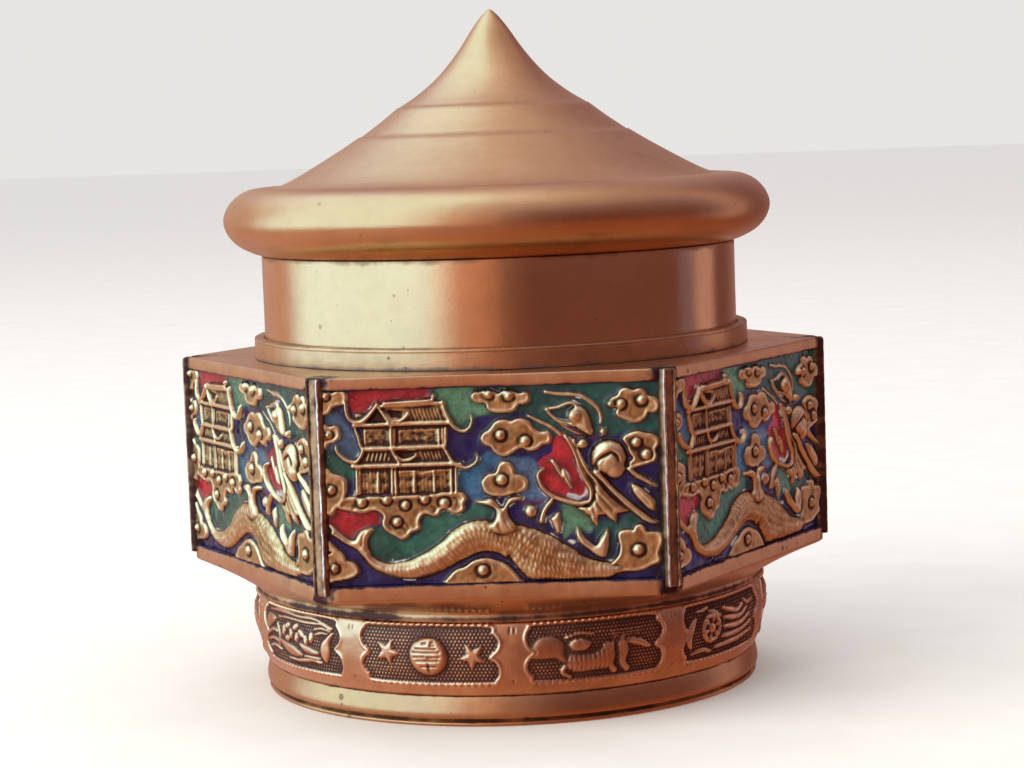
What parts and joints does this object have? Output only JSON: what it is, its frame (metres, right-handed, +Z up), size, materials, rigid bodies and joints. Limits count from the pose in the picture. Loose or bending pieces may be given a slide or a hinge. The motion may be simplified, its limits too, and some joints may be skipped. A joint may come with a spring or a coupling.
{
  "type": "enamel spice jar",
  "caption": "Hexagonal brass spice jar with enamelled relief panels, narrow corner strips, an embossed round foot band, a round neck and a pointed lift-off lid.",
  "frame": {"origin": "on the surface the jar stands on, below the jar's axis", "axes": "+Z up along the jar's axis to the lid's point, -Y out of the middle of one enamelled panel, +X through a corner strip"},
  "size_m": [0.1042, 0.0916, 0.1076],
  "materials": {
    "spun_brass": "polished spun brass with a soft sheen, fine turning lines and small dark specks",
    "aged_brass": "satin brass with darker oxide along the seams",
    "post_brass": "narrow brass strip with two bright ridges and brown tarnish between them",
    "embossed_brass": "coppery pressed brass, bright on the figures and dark in the stippled grounds",
    "enamelled_brass": "cast brass figures standing out of glossy red, green, blue and navy enamel"
  },
  "bodies": {
    "root": {"foot_ring": "aged_brass", "embossed_band": "embossed_brass", "pan": "aged_brass", "shoulder_plate": "aged_brass", "collar": "aged_brass", "neck": "spun_brass", "lid": "spun_brass", "panel_1": "enamelled_brass", "panel_2": "enamelled_brass", "panel_3": "enamelled_brass", "panel_4": "enamelled_brass", "panel_5": "enamelled_brass", "panel_6": "enamelled_brass", "corner_post_1": "post_brass", "corner_post_2": "post_brass", "corner_post_3": "post_brass", "corner_post_4": "post_brass", "corner_post_5": "post_brass", "corner_post_6": "post_brass"}
  },
  "joints": []
}
